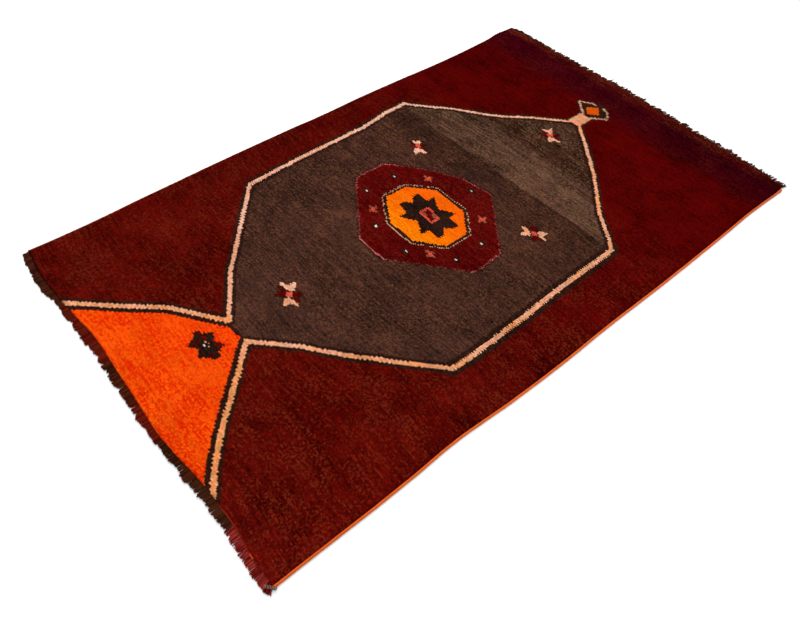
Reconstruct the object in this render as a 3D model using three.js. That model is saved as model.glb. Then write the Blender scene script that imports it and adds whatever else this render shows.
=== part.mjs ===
// A hand-knotted Turkish village rug lying flat: the knotted body, the overcast bindings of its two
// long sides, and the short warp ends of its two ends, each on the narrow strip that holds them.
// Millimetres. +X runs along the length to the ragged end, +Y across to the far side, +Z up.
// The origin is at the middle of the part's box, on the surface that it lies on.

import * as THREE from 'three';
import { mergeVertices } from 'three/addons/utils/BufferGeometryUtils.js';

// Driving dimensions
const BODY_LENGTH = 2115;      // knotted cloth, between the two end strips
const BODY_WIDTH = 1288;       // knotted cloth, between the two bindings
const BODY_THICKNESS = 9.5;    // foundation and pile together
const RIM_ROUND = 3.6;         // how far the pile rounds over at the rim
const GAP = 0.3;               // clearance between neighbouring pieces

const BINDING_WIDTH = 6.2;     // overcast binding, across
const BINDING_HEIGHT = 5.6;    // overcast binding, top to bottom
const BINDING_WAIST = 0.72;    // height between the two bound warp bundles, as a share
const BINDING_SLACK = 0.45;    // how far the binding swells and thins along its length
const BINDING_KNOT = 2.2;      // how much thicker the near binding is where it is knotted off

const STRIP_WIDTH = 5;         // woven strip that the warp ends grow from
const STRIP_THICKNESS = 4.4;
const LOCK_TIP_THICKNESS = 2.2;

const SIDE_POINTS = 88;        // points along each long side, which its binding shares
const LOCKS_PER_POINT = 2;     // warp locks between two points of an end, which its strip shares

// How far each edge of the real rug stands out (+) or in (-) from the plain rectangle, in millimetres.
// at: the place along the edge, as a share of its length. out: the knotted cloth's own departure there.
// ends: how far the warp ends reach there, measured from the same rectangle.
const LEFT_END = [
  { at: 0.00, out: -2, ends: 14 },
  { at: 0.035, out: -2, ends: 18 },
  { at: 0.07, out: -4, ends: 15 },
  { at: 0.11, out: -12, ends: 12 },
  { at: 0.15, out: -13, ends: 9 },
  { at: 0.19, out: -12, ends: 12 },
  { at: 0.22, out: -11, ends: 14 },
  { at: 0.26, out: -8, ends: 18 },
  { at: 0.31, out: 0, ends: 17 },
  { at: 0.35, out: 4, ends: 20 },
  { at: 0.39, out: 6, ends: 22 },
  { at: 0.44, out: 3, ends: 26 },
  { at: 0.50, out: 0, ends: 21 },
  { at: 0.58, out: -4, ends: 20 },
  { at: 0.65, out: -8, ends: 15 },
  { at: 0.70, out: -6, ends: 18 },
  { at: 0.74, out: 0, ends: 20 },
  { at: 0.81, out: 6, ends: 22 },
  { at: 0.86, out: 10, ends: 29 },
  { at: 0.89, out: 10, ends: 32 },
  { at: 0.93, out: 10, ends: 28 },
  { at: 0.97, out: 3, ends: 25 },
  { at: 1.00, out: 0, ends: 17 },
];
const RIGHT_END = [
  { at: 0.00, out: -6, ends: 14 },
  { at: 0.05, out: 1, ends: 20 },
  { at: 0.19, out: 8, ends: 29 },
  { at: 0.34, out: 12, ends: 32 },
  { at: 0.50, out: 17, ends: 38 },
  { at: 0.62, out: 14, ends: 36 },
  { at: 0.76, out: 8, ends: 29 },
  { at: 0.90, out: 5, ends: 25 },
  { at: 1.00, out: 0, ends: 18 },
];
const NEAR_SIDE = [
  { at: 0.00, out: -5 },
  { at: 0.08, out: -4 },
  { at: 0.17, out: -3 },
  { at: 0.26, out: -7 },
  { at: 0.31, out: -2 },
  { at: 0.36, out: 4 },
  { at: 0.45, out: 8 },
  { at: 0.55, out: 7 },
  { at: 0.64, out: 10 },
  { at: 0.73, out: 11 },
  { at: 0.83, out: 10 },
  { at: 0.89, out: 8 },
  { at: 0.94, out: 10 },
  { at: 0.975, out: 13 },
  { at: 1.00, out: 12 },
];
const FAR_SIDE = [
  { at: 0.00, out: -5 },
  { at: 0.03, out: -8 },
  { at: 0.08, out: -10 },
  { at: 0.13, out: -8 },
  { at: 0.17, out: -5 },
  { at: 0.23, out: -3 },
  { at: 0.31, out: 0 },
  { at: 0.45, out: 0 },
  { at: 0.50, out: -3 },
  { at: 0.55, out: -3 },
  { at: 0.60, out: -1 },
  { at: 0.69, out: -4 },
  { at: 0.74, out: -8 },
  { at: 0.79, out: -11 },
  { at: 0.84, out: -11 },
  { at: 0.88, out: -9 },
  { at: 0.93, out: -5 },
  { at: 0.96, out: 4 },
  { at: 0.98, out: 1 },
  { at: 1.00, out: 0 },
];

// The warp ends. number: locks along the end. width: the share of its pitch that a lock fills.
// tip: its width at the tip, as a share of the root's. uneven: how much longer or shorter it may be.
// lean: how far its tip may drift sideways.
const LEFT_LOCKS = { number: 150, width: 0.86, tip: 0.72, uneven: 3.5, lean: 1.8, seed: 11 };
const RIGHT_LOCKS = { number: 142, width: 0.78, tip: 0.45, uneven: 6.5, lean: 4.5, seed: 29 };

// A small repeatable random source, from 0 to 1
function randomFrom(seed) {
  let state = seed >>> 0;
  return () => {
    state = (Math.imul(state, 1664525) + 1013904223) >>> 0;
    return state / 4294967296;
  };
}

// A smooth reading of one column of an edge table at a share of the edge's length
function reader(table, column) {
  const curve = new THREE.SplineCurve(table.map((row) => new THREE.Vector2(row.at, row[column])));
  const samples = curve.getPoints(table.length * 12);
  return (share) => {
    const clamped = THREE.MathUtils.clamp(share, 0, 1);
    const next = Math.max(1, samples.findIndex((point) => point.x >= clamped));
    const before = samples[next - 1];
    const after = samples[next];
    const along = (clamped - before.x) / Math.max(after.x - before.x, 1e-9);
    return THREE.MathUtils.lerp(before.y, after.y, along);
  };
}

const leftOut = reader(LEFT_END, 'out');
const rightOut = reader(RIGHT_END, 'out');
const nearOut = reader(NEAR_SIDE, 'out');
const farOut = reader(FAR_SIDE, 'out');

// The body's four edges, each as a point at a share of its length, near-left corner first
const leftEdge = (share) => -BODY_LENGTH / 2 - leftOut(share);
const rightEdge = (share) => BODY_LENGTH / 2 + rightOut(share);
const nearEdge = (share) => -BODY_WIDTH / 2 - nearOut(share);
const farEdge = (share) => BODY_WIDTH / 2 + farOut(share);
const CORNERS = {
  nearLeft: new THREE.Vector2(leftEdge(0), nearEdge(0)),
  nearRight: new THREE.Vector2(rightEdge(0), nearEdge(1)),
  farLeft: new THREE.Vector2(leftEdge(1), farEdge(0)),
  farRight: new THREE.Vector2(rightEdge(1), farEdge(1)),
};
const onNearSide = (share) => new THREE.Vector2(
  THREE.MathUtils.lerp(CORNERS.nearLeft.x, CORNERS.nearRight.x, share), nearEdge(share));
const onFarSide = (share) => new THREE.Vector2(
  THREE.MathUtils.lerp(CORNERS.farLeft.x, CORNERS.farRight.x, share), farEdge(share));
const onLeftEnd = (share) => new THREE.Vector2(
  leftEdge(share), THREE.MathUtils.lerp(CORNERS.nearLeft.y, CORNERS.farLeft.y, share));
const onRightEnd = (share) => new THREE.Vector2(
  rightEdge(share), THREE.MathUtils.lerp(CORNERS.nearRight.y, CORNERS.farRight.y, share));

// Evenly shared points along one edge, without its last one
function walk(edge, count) {
  return Array.from({ length: count }, (_, index) => edge(index / count));
}

// A closed outline moved inwards by a distance, point by point along its own normals
function inset(outline, distance) {
  return outline.map((point, index) => {
    const before = outline[(index + outline.length - 1) % outline.length];
    const after = outline[(index + 1) % outline.length];
    const arriving = point.clone().sub(before).normalize();
    const leaving = after.clone().sub(point).normalize();
    const inwards = new THREE.Vector2(-arriving.y - leaving.y, arriving.x + leaving.x).normalize();
    const widening = Math.max(inwards.dot(new THREE.Vector2(-arriving.y, arriving.x)), 0.5);
    return point.clone().addScaledVector(inwards, distance / widening);
  });
}

// One closed solid from a stack of closed rings with equal point counts, lowest ring first
function solidFromRings(rings) {
  const size = rings[0].length;
  const positions = rings.flat().flatMap((point) => [point.x, point.y, point.z]);
  const indices = [];
  for (let level = 0; level + 1 < rings.length; level += 1) {
    for (let index = 0; index < size; index += 1) {
      const next = (index + 1) % size;
      const low = level * size;
      const high = low + size;
      indices.push(low + index, low + next, high + next);
      indices.push(low + index, high + next, high + index);
    }
  }
  const flat = (ring) => ring.map((point) => new THREE.Vector2(point.x, point.y));
  const top = (rings.length - 1) * size;
  for (const [a, b, c] of THREE.ShapeUtils.triangulateShape(flat(rings[0]), [])) {
    indices.push(c, b, a);
  }
  for (const [a, b, c] of THREE.ShapeUtils.triangulateShape(flat(rings[rings.length - 1]), [])) {
    indices.push(top + a, top + b, top + c);
  }
  const geometry = new THREE.BufferGeometry();
  geometry.setAttribute('position', new THREE.Float32BufferAttribute(positions, 3));
  geometry.setIndex(indices);
  return geometry;
}

// The knotted body: one flat slab with the rug's uneven outline, its pile rounded over at the rim.
// level: height as a share of the thickness. inside: inset there, as a share of the rounding.
const RIM_PROFILE = [
  { level: 0.00, inside: 0.30 },
  { level: 0.16, inside: 0.00 },
  { level: 0.62, inside: 0.06 },
  { level: 0.88, inside: 0.42 },
  { level: 1.00, inside: 1.00 },
];

function bodyGeometry() {
  const outline = [
    ...walk(onNearSide, SIDE_POINTS),
    ...walk(onRightEnd, RIGHT_LOCKS.number / LOCKS_PER_POINT),
    ...walk((share) => onFarSide(1 - share), SIDE_POINTS),
    ...walk((share) => onLeftEnd(1 - share), LEFT_LOCKS.number / LOCKS_PER_POINT),
  ];
  const rings = RIM_PROFILE.map(({ level, inside }) => inset(outline, inside * RIM_ROUND)
    .map((point) => new THREE.Vector3(point.x, point.y, level * BODY_THICKNESS)));
  return solidFromRings(rings);
}

// A binding: wool overcast round two bundles of warp, so its section has two lobes side by side.
// across: from the body's side outwards, as a share of the width. level: share of the height.
const BINDING_SECTION = [
  { across: 0.00, level: 0.50 },
  { across: 0.08, level: 0.08 },
  { across: 0.25, level: 0.00 },
  { across: 0.75, level: 0.00 },
  { across: 0.92, level: 0.10 },
  { across: 1.00, level: 0.46 },
  { across: 0.90, level: 0.84 },
  { across: 0.74, level: 0.94 },
  { across: 0.50, level: BINDING_WAIST },
  { across: 0.27, level: 1.00 },
  { across: 0.08, level: 0.86 },
];

function bindingGeometry(edge, outwards, count, knot) {
  const positions = [];
  const indices = [];
  const size = BINDING_SECTION.length;
  for (let station = 0; station <= count; station += 1) {
    const place = edge(station / SIDE_POINTS);
    const loose = BINDING_SLACK * Math.sin(station * 1.7) * Math.sin(station * 0.61 + 1);
    const swell = station === count ? knot : loose;
    for (const { across, level } of BINDING_SECTION) {
      const reach = GAP + across * (BINDING_WIDTH + swell);
      positions.push(place.x, place.y + outwards * reach, level * (BINDING_HEIGHT + swell));
    }
  }
  const turn = outwards < 0 ? [0, 1, 2] : [0, 2, 1];
  const face = (...corners) => indices.push(...turn.map((corner) => corners[corner]));
  for (let station = 0; station < count; station += 1) {
    for (let index = 0; index < size; index += 1) {
      const next = (index + 1) % size;
      const here = station * size;
      const there = here + size;
      face(here + index, there + next, here + next);
      face(here + index, there + index, there + next);
    }
  }
  const section = BINDING_SECTION.map(({ across, level }) => new THREE.Vector2(across, level));
  for (const [a, b, c] of THREE.ShapeUtils.triangulateShape(section, [])) {
    face(a, b, c);
    face(count * size + a, count * size + c, count * size + b);
  }
  const geometry = new THREE.BufferGeometry();
  geometry.setAttribute('position', new THREE.Float32BufferAttribute(positions, 3));
  geometry.setIndex(indices);
  return geometry;
}

// A fringe: a flat strip along the body's end with the locks of warp fused to it like a comb.
// Locks are four-sided, lie level on the surface and thin out towards their blunt tips.
function fringeGeometry(edge, table, outwards, locks) {
  const random = randomFrom(locks.seed);
  const either = () => 2 * random() - 1;
  const ends = reader(table, 'ends');
  const outline = [];
  const thickness = [];
  const add = (x, y, thick) => {
    outline.push(new THREE.Vector2(x, y));
    thickness.push(thick);
  };
  for (let index = 0; index < locks.number; index += 1) {
    const from = edge(index / locks.number);
    const to = edge((index + 1) / locks.number);
    const share = (index + 0.5) / locks.number;
    const middle = (from.y + to.y) / 2;
    const half = locks.width * (to.y - from.y) / 2;
    const root = outwards * (GAP + STRIP_WIDTH);
    const tip = outwards * (BODY_LENGTH / 2 + ends(share) + locks.uneven * either());
    const drift = locks.lean * either() * (1 - locks.width);
    const narrow = half * locks.tip;
    add(from.x + root, middle - half, STRIP_THICKNESS);
    add(tip, middle - narrow + drift, LOCK_TIP_THICKNESS);
    add(tip, middle + narrow + drift, LOCK_TIP_THICKNESS);
    add(to.x + root, middle + half, STRIP_THICKNESS);
  }
  for (let index = locks.number; index >= 0; index -= LOCKS_PER_POINT) {
    const place = edge(index / locks.number);
    add(place.x + outwards * GAP, place.y, STRIP_THICKNESS);
  }
  if (THREE.ShapeUtils.isClockWise(outline)) {
    outline.reverse();
    thickness.reverse();
  }
  return solidFromRings([
    outline.map((point) => new THREE.Vector3(point.x, point.y, 0)),
    outline.map((point, index) => new THREE.Vector3(point.x, point.y, thickness[index])),
  ]);
}

function piece(name, geometry, colour, roughness) {
  const material = new THREE.MeshStandardMaterial({ color: colour, roughness, metalness: 0 });
  const closed = mergeVertices(geometry);
  closed.computeVertexNormals();
  const mesh = new THREE.Mesh(closed, material);
  mesh.name = name;
  return mesh;
}

// Each binding stops one point short of the ragged end's corner
const boundPoints = SIDE_POINTS - 1;
const nearBinding = bindingGeometry(onNearSide, -1, boundPoints, BINDING_KNOT);
const farBinding = bindingGeometry(onFarSide, 1, boundPoints, 0);
const leftFringe = fringeGeometry(onLeftEnd, LEFT_END, -1, LEFT_LOCKS);
const rightFringe = fringeGeometry(onRightEnd, RIGHT_END, 1, RIGHT_LOCKS);

const rug = new THREE.Group();
rug.add(piece('knotted_rug_body', bodyGeometry(), 0x5a0f0a, 0.95));
rug.add(piece('near_selvedge', nearBinding, 0xf0641e, 0.85));
rug.add(piece('far_selvedge', farBinding, 0xd85a28, 0.85));
rug.add(piece('left_fringe', leftFringe, 0x3c140a, 0.95));
rug.add(piece('right_fringe', rightFringe, 0x2d0f08, 0.95));

// Puts the origin at the middle of the whole part's box
const box = new THREE.Box3().setFromObject(rug);
const middle = box.getCenter(new THREE.Vector3());
rug.position.set(-middle.x, -middle.y, 0);
rug.updateMatrixWorld(true);

export default rug;
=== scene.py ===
"""A hand-knotted Turkish village rug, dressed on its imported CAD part. Metres, +Z up."""

import math

import bpy
import numpy as np
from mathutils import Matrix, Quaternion, Vector


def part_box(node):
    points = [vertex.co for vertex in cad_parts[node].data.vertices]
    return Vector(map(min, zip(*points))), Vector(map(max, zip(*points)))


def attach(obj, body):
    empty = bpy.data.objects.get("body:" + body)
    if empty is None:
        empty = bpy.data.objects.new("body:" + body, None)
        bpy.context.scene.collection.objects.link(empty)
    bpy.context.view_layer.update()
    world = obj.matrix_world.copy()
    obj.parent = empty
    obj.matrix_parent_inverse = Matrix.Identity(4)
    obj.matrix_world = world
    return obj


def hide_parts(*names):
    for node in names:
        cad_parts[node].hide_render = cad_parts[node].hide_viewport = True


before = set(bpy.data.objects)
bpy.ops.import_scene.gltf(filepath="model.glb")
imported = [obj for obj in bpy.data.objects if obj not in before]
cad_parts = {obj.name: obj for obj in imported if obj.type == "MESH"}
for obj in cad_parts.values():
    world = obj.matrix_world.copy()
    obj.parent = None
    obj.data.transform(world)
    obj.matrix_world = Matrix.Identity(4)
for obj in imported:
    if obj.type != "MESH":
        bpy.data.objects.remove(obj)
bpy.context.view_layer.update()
scene = bpy.context.scene
scene.view_settings.view_transform = "Standard"

# The camera
# The rug lies on a studio floor and is seen from standing height over its near-left corner,
# with a moderately wide lens. The picture leans by a few degrees.
OFF_BOX_MIDDLE = (-0.0033, 0.0045, 0.0)
EYE = (-1.19542, -1.13286, 1.54649)
AIM = (-0.34443, -0.24083, 0.0)
LEAN = 3.599
low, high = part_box("knotted_rug_body")
middle = (np.array(low) + np.array(high)) / 2 + OFF_BOX_MIDDLE
middle[2] = 0.0
camera = bpy.data.objects.new("camera", bpy.data.cameras.new("camera"))
camera.data.sensor_width = 36
camera.data.lens = 30.994
camera.location = Vector(EYE) + Vector(middle)
level = (Vector(AIM) - Vector(EYE)).to_track_quat("-Z", "Y")
camera.rotation_mode = "QUATERNION"
camera.rotation_quaternion = level @ Quaternion((0, 0, 1), math.radians(LEAN))
scene.collection.objects.link(camera)
scene.camera = camera

# The woven ground
# Dark wool warps run the whole length, and thin wefts are beaten in between the rows of knots.
# It is a cloth about two millimetres thick, and it carries the knots, bindings and fringes.
WIDEST = 0.00152
CLOTH_LOW = 0.0007
CLOTH_HIGH = 0.0030
WARP_STEP = 0.0023
WEFT_STEP = 0.0021


def node_places(name):
    """All the places of the vertices of a node of the frame."""
    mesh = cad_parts[name].data
    places = np.empty(len(mesh.vertices) * 3)
    mesh.vertices.foreach_get("co", places)
    return places.reshape(-1, 3)


rim = node_places("knotted_rug_body")
rim = rim[np.abs(rim[:, 2] - WIDEST) < 1e-4, :2]


def corner_of(right, far):
    """One of the four corners of the rug's outline."""
    return rim[np.argmax(rim[:, 0] * right + rim[:, 1] * far)]


near_left = corner_of(-1, -1)
near_right = corner_of(1, -1)
far_left = corner_of(-1, 1)
far_right = corner_of(1, 1)


def outline_run(start, end, along, margin):
    """The uneven outline between two corners, in order. along is 0 for a long side."""
    across = 1 - along
    slope = (end[across] - start[across]) / (end[along] - start[along])
    straight = start[across] + (rim[:, along] - start[along]) * slope
    close = np.abs(rim[:, across] - straight) < 0.03
    between = (rim[:, along] > start[along] + margin) & (rim[:, along] < end[along] - margin)
    run = np.vstack([start, rim[close & between], end])
    return run[np.argsort(run[:, along])]


near_side = outline_run(near_left, near_right, 0, 0.012)
far_side = outline_run(far_left, far_right, 0, 0.012)
left_end = outline_run(near_left, far_left, 1, 0.006)
right_end = outline_run(near_right, far_right, 1, 0.006)


def on_run(run, along, share):
    """Places at a share of the way along one run of the outline."""
    at = run[0, along] + (run[-1, along] - run[0, along]) * share
    off = np.interp(at, run[:, along], run[:, 1 - along])
    return np.stack([at, off] if along == 0 else [off, at], -1)


def on_rug(u, v):
    """Places at a share u of the rug's length and v of its width, between its uneven edges."""
    u, v = (np.asarray(share, float) for share in (u, v))
    long_way = (1 - v)[..., None] * on_run(near_side, 0, u) + v[..., None] * on_run(far_side, 0, u)
    short_way = (1 - u)[..., None] * on_run(left_end, 1, v) + u[..., None] * on_run(right_end, 1, v)
    flat = ((1 - u) * (1 - v))[..., None] * near_left + (u * (1 - v))[..., None] * near_right
    flat = flat + ((1 - u) * v)[..., None] * far_left + (u * v)[..., None] * far_right
    return long_way + short_way - flat


def make_piece(name, places, faces, materials, maps, stands_for, which=None):
    """A smooth mesh piece on the rug. which gives each face its material, by number."""
    mesh = bpy.data.meshes.new(name)
    faces = [np.asarray(part, np.int32) for part in faces]
    sizes = np.concatenate([np.full(len(part), part.shape[1]) for part in faces])
    corners = np.concatenate([part.ravel() for part in faces])
    mesh.vertices.add(len(places))
    mesh.vertices.foreach_set("co", np.asarray(places, np.float32).ravel())
    mesh.loops.add(len(corners))
    mesh.loops.foreach_set("vertex_index", corners)
    mesh.polygons.add(len(sizes))
    mesh.polygons.foreach_set("loop_start", np.concatenate([[0], np.cumsum(sizes)[:-1]]))
    mesh.polygons.foreach_set("use_smooth", np.ones(len(sizes), bool))
    for material in materials:
        mesh.materials.append(material)
    if which is not None:
        mesh.polygons.foreach_set("material_index", np.asarray(which, np.int32))
    for label, values in maps.items():
        layer = mesh.uv_layers.new(name=label)
        layer.data.foreach_set("uv", np.asarray(values, np.float32).ravel())
    mesh.update(calc_edges=True)
    mesh.validate()
    piece = bpy.data.objects.new(name, mesh)
    scene.collection.objects.link(piece)
    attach(piece, "root")
    if stands_for:
        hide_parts(*stands_for)
    return piece


def from_above(places, faces):
    """A map of a piece as seen from above, filled from edge to edge."""
    corners = np.concatenate([part.ravel() for part in faces])
    flat = places[corners][:, :2]
    start, end = places[:, :2].min(0), places[:, :2].max(0)
    return 0.002 + 0.996 * (flat - start) / (end - start)


def add_node(tree, kind, inputs=None, **settings):
    """Adds a shader node with its settings and inputs."""
    made = tree.nodes.new("ShaderNode" + kind)
    for name, value in settings.items():
        setattr(made, name, value)
    for name, value in (inputs or {}).items():
        if isinstance(value, bpy.types.NodeSocket):
            tree.links.new(value, made.inputs[name])
        else:
            made.inputs[name].default_value = value
    return made


def calculate(tree, operation, *values):
    """The result of one sum on values."""
    return add_node(tree, "Math", dict(enumerate(values)), operation=operation).outputs[0]


def vectors(tree, operation, *values):
    """The result of one sum on vectors. A single number counts for all three ways."""
    return add_node(tree, "VectorMath", dict(enumerate(values)), operation=operation).outputs[0]


def mapped(tree, *values):
    """A value mapped from its range to another, from 0 to 1 unless given, and kept inside it."""
    return add_node(tree, "MapRange", dict(enumerate(values))).outputs[0]


def noise(tree, where, scale, detail):
    """A noise over the places given, with so many waves a metre."""
    return add_node(tree, "TexNoise", {"Vector": where, "Scale": scale, "Detail": detail}).outputs["Fac"]


def mix_colours(tree, share, first, second, blend="MIX"):
    """The result of mixing two colours."""
    inputs = {0: share, 6: first, 7: second}
    return add_node(tree, "Mix", inputs, data_type="RGBA", blend_type=blend).outputs[2]


def dye(red, green, blue):
    """A wool's colour, from its 0 to 255 screen values."""
    share = np.array([red, green, blue]) / 255
    linear = np.where(share > 0.04045, ((share + 0.055) / 1.055) ** 2.4, share / 12.92)
    return (*linear.tolist(), 1.0)


def effect(name, inputs, outputs):
    """A shader node group with labelled inputs and outputs of a kind each, and its two end nodes."""
    group = bpy.data.node_groups.new(name, "ShaderNodeTree")
    for direction, sockets in (("INPUT", inputs), ("OUTPUT", outputs)):
        for label, kind in sockets.items():
            group.interface.new_socket(label, in_out=direction, socket_type="NodeSocket" + kind)
    return group, group.nodes.new("NodeGroupInput").outputs, group.nodes.new("NodeGroupOutput").inputs


# Fine wool fibres: light and dark hairs at two sizes, for every wool of the rug.
fibres, given, wanted = effect(
    "wool fibres", {"Hairs per metre": "Float"}, {"Shade": "Float", "Height": "Float"}
)
where = add_node(fibres, "TexCoord").outputs["Object"]
hairs = noise(fibres, where, given["Hairs per metre"], 3.0)
clumps = noise(fibres, where, 190.0, 2.0)
both = calculate(fibres, "ADD", hairs, clumps)
fibres.links.new(calculate(fibres, "MULTIPLY", both, 0.5), wanted["Shade"])
fibres.links.new(hairs, wanted["Height"])


def wool_surface(name, colour_of, bump, distance, roughness=0.93, sheen=0.05, sheen_tint=(1, 1, 1, 1)):
    """A woollen material: colour_of(tree) gives its colour and height sockets."""
    material = bpy.data.materials.new(name)
    material.use_nodes = True
    tree = material.node_tree
    principled = tree.nodes["Principled BSDF"]
    colour, height = colour_of(tree)
    tree.links.new(colour, principled.inputs["Base Color"])
    relief = {"Height": height, "Strength": bump, "Distance": distance}
    tree.links.new(add_node(tree, "Bump", relief).outputs[0], principled.inputs["Normal"])
    constants = {"Roughness": roughness, "Specular IOR Level": 0.0, "Sheen Weight": sheen,
                 "Sheen Roughness": 0.45, "Sheen Tint": sheen_tint}
    for label, value in constants.items():
        principled.inputs[label].default_value = value
    return material


def placed(tree, group, **inputs):
    """One use of an effect in a material."""
    labelled = {name.replace("_", " "): value for name, value in inputs.items()}
    return add_node(tree, "Group", labelled, node_tree=group).outputs


def cells_of(number):
    """The four corner numbers of each cell of a grid."""
    return np.stack([number[:-1, :-1], number[1:, :-1], number[1:, 1:], number[:-1, 1:]], -1)


def ground_weave(tree):
    """Dark warps with lighter wefts over them, four or five of each to the centimetre."""
    where = add_node(tree, "TexCoord").outputs["Object"]
    way = add_node(tree, "SeparateXYZ", {0: where}).outputs
    warps = calculate(tree, "SINE", calculate(tree, "MULTIPLY", way["Y"], 2 * math.pi / WARP_STEP))
    wefts = calculate(tree, "SINE", calculate(tree, "MULTIPLY", way["X"], 2 * math.pi / WEFT_STEP))
    weave = calculate(tree, "MULTIPLY_ADD", calculate(tree, "MULTIPLY", warps, wefts), 0.5, 0.5)
    colour = mix_colours(tree, weave, dye(38, 18, 11), dye(82, 44, 30))
    hair = placed(tree, fibres, Hairs_per_metre=1100.0)
    colour = mix_colours(tree, 0.35, colour, hair["Shade"], "OVERLAY")
    return colour, calculate(tree, "ADD", weave, hair["Height"])


ground_wool = wool_surface("dark_ground_weave", ground_weave, 0.6, 0.0006)
LONG_CELLS, CROSS_CELLS = 96, 60
u, v = np.meshgrid(
    np.linspace(0.0007, 0.9993, LONG_CELLS + 1),
    np.linspace(0.0011, 0.9989, CROSS_CELLS + 1),
    indexing="ij",
)
flat = on_rug(u, v).reshape(-1, 2)
count = len(flat)
number = np.arange(count).reshape(u.shape)
tops = cells_of(number).reshape(-1, 4)
edge = np.concatenate([number[:, 0], number[-1, 1:], number[-2::-1, -1], number[0, -2::-1]])
walls = np.stack([edge[:-1], edge[:-1] + count, edge[1:] + count, edge[1:]], -1)[:, ::-1]
places = np.vstack([
    np.column_stack([flat, np.full(count, CLOTH_HIGH)]),
    np.column_stack([flat, np.full(count, CLOTH_LOW)]),
])
faces = [tops, tops[:, ::-1] + count, walls]
ground = make_piece("woven_ground", places, faces, [ground_wool],
                    {"OFBake": from_above(places, faces)}, stands_for=["knotted_rug_body"])

# The pattern of the knots
# The weaver ties one knot round two warps at a time, row after row across the rug, and picks
# the wool of each from memory. So lines step by whole knots and waver, and no two motifs match.
ROWS = 504
KNOTS = 280
KNOT_WIDTH = 4.6
PATTERN_NEARER = 2.2
TOOTH = 0.32
TOOTH_UNEVEN = 0.28
CALMER_BELOW = -430
WAVER_SIZE = 0.8
(RED, PLUM, BROWN, GREY, ORANGE, GOLD, PEACH, UMBER,
 BLACK, PINK, ROSE, CREAM, IVORY, CORAL, WINE, RUST) = range(16)
hand = np.random.default_rng(7)


def waver(cells, size):
    """A slow unevenness over the whole rug, one value a knot, in steps of so many knots."""
    coarse = hand.normal(0, size, (ROWS // cells + 2, KNOTS // cells + 2))
    row = np.arange(ROWS) / cells
    knot = np.arange(KNOTS) / cells
    down = row.astype(int)
    over = knot.astype(int)
    down_share = (row - down)[:, None]
    over_share = (knot - over)[None, :]
    first, second = (
        part[:, over] * (1 - over_share) + part[:, over + 1] * over_share
        for part in (coarse[down], coarse[down + 1])
    )
    return first * (1 - down_share) + second * down_share


row_share, knot_share = np.meshgrid(
    (np.arange(ROWS) + 0.5) / ROWS, (np.arange(KNOTS) + 0.5) / KNOTS, indexing="ij"
)
centres = on_rug(row_share, knot_share)
along = (centres[..., 0] - middle[0]) * 1000
across = (centres[..., 1] - middle[1]) * 1000 + PATTERN_NEARER
steady_across = across.copy()
tooth = np.where(np.arange(ROWS) % 2 == 0, TOOTH, -TOOTH) + hand.uniform(-TOOTH_UNEVEN, TOOTH_UNEVEN, ROWS)
tooth = tooth[:, None] * np.where(across < CALMER_BELOW, 0.75, 1.0)
across = across + tooth * KNOT_WIDTH + waver(12, WAVER_SIZE)
along = along + waver(14, WAVER_SIZE)
chart = np.full((ROWS, KNOTS), RED)


def inside(outline, x=along, y=across):
    """Which knots lie inside a closed outline of straight runs, in millimetres."""
    found = np.zeros(x.shape, bool)
    for (x0, y0), (x1, y1) in zip(outline, outline[1:] + outline[:1]):
        if y0 != y1:
            found ^= ((y0 > y) != (y1 > y)) & (x < x0 + (y - y0) * (x1 - x0) / (y1 - y0))
    return found


def beside(line, closed=False):
    """Each knot's distance to a line of straight runs, and how far along the line it is."""
    nearest = np.full(along.shape, 1e9)
    place = np.zeros(along.shape)
    run = 0.0
    for (x0, y0), (x1, y1) in zip(line, line[1:] + (line[:1] if closed else [])):
        dx, dy = x1 - x0, y1 - y0
        size = math.hypot(dx, dy)
        share = np.clip(((along - x0) * dx + (across - y0) * dy) / size**2, 0, 1)
        off = np.hypot(along - x0 - share * dx, across - y0 - share * dy)
        place = np.where(off < nearest, run + share * size, place)
        nearest = np.minimum(off, nearest)
        run += size
    return nearest, place


def box(x, y, half_long, half_wide, far=across):
    """Which knots lie in a box round a place."""
    return (np.abs(along - x) < half_long) & (np.abs(far - y) < half_wide)


# The brown hexagon, the orange niche, and a peach line round both with a dark line each side.
# Each run of the line has its own half width, and its own dark widths inside and outside the figure.
NEAR_LEFT = [(-739, -52), (-634, -160), (-542, -279), (-364, -475)]
NEAR = [(-364, -475), (-300, -480), (-80, -477), (100, -471), (331, -469)]
NEAR_RIGHT = [(331, -469), (366, -433), (435, -341), (573, -203), (626, -141), (746, 8)]
FAR_RIGHT = [(741, 52), (650, 152), (562, 229), (532, 262), (450, 373), (349, 482), (326, 513)]
FAR = [(326, 513), (232, 510), (110, 493), (-175, 493), (-377, 485)]
FAR_LEFT = [(-377, 485), (-636, 194), (-738, 39)]
NICHE_FAR = [(-738, 39), (-848, 189), (-954, 284), (-1092, 412)]
NICHE_NEAR = [(-738, -51), (-851, -159), (-950, -260), (-998, -313), (-1043, -377), (-1088, -440)]
HEXAGON = NEAR_LEFT[:-1] + NEAR[:-1] + NEAR_RIGHT + FAR_RIGHT[:-1] + FAR[:-1] + FAR_LEFT
in_hexagon = inside(HEXAGON)
in_niche = inside(NICHE_FAR[::-1] + NICHE_NEAR)
chart[in_hexagon] = BROWN
new_lot = 322 - 0.022 * across + 3 * np.sin(across / 60)
chart[in_hexagon & (along > new_lot)] = GREY
chart[in_niche] = ORANGE
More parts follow.
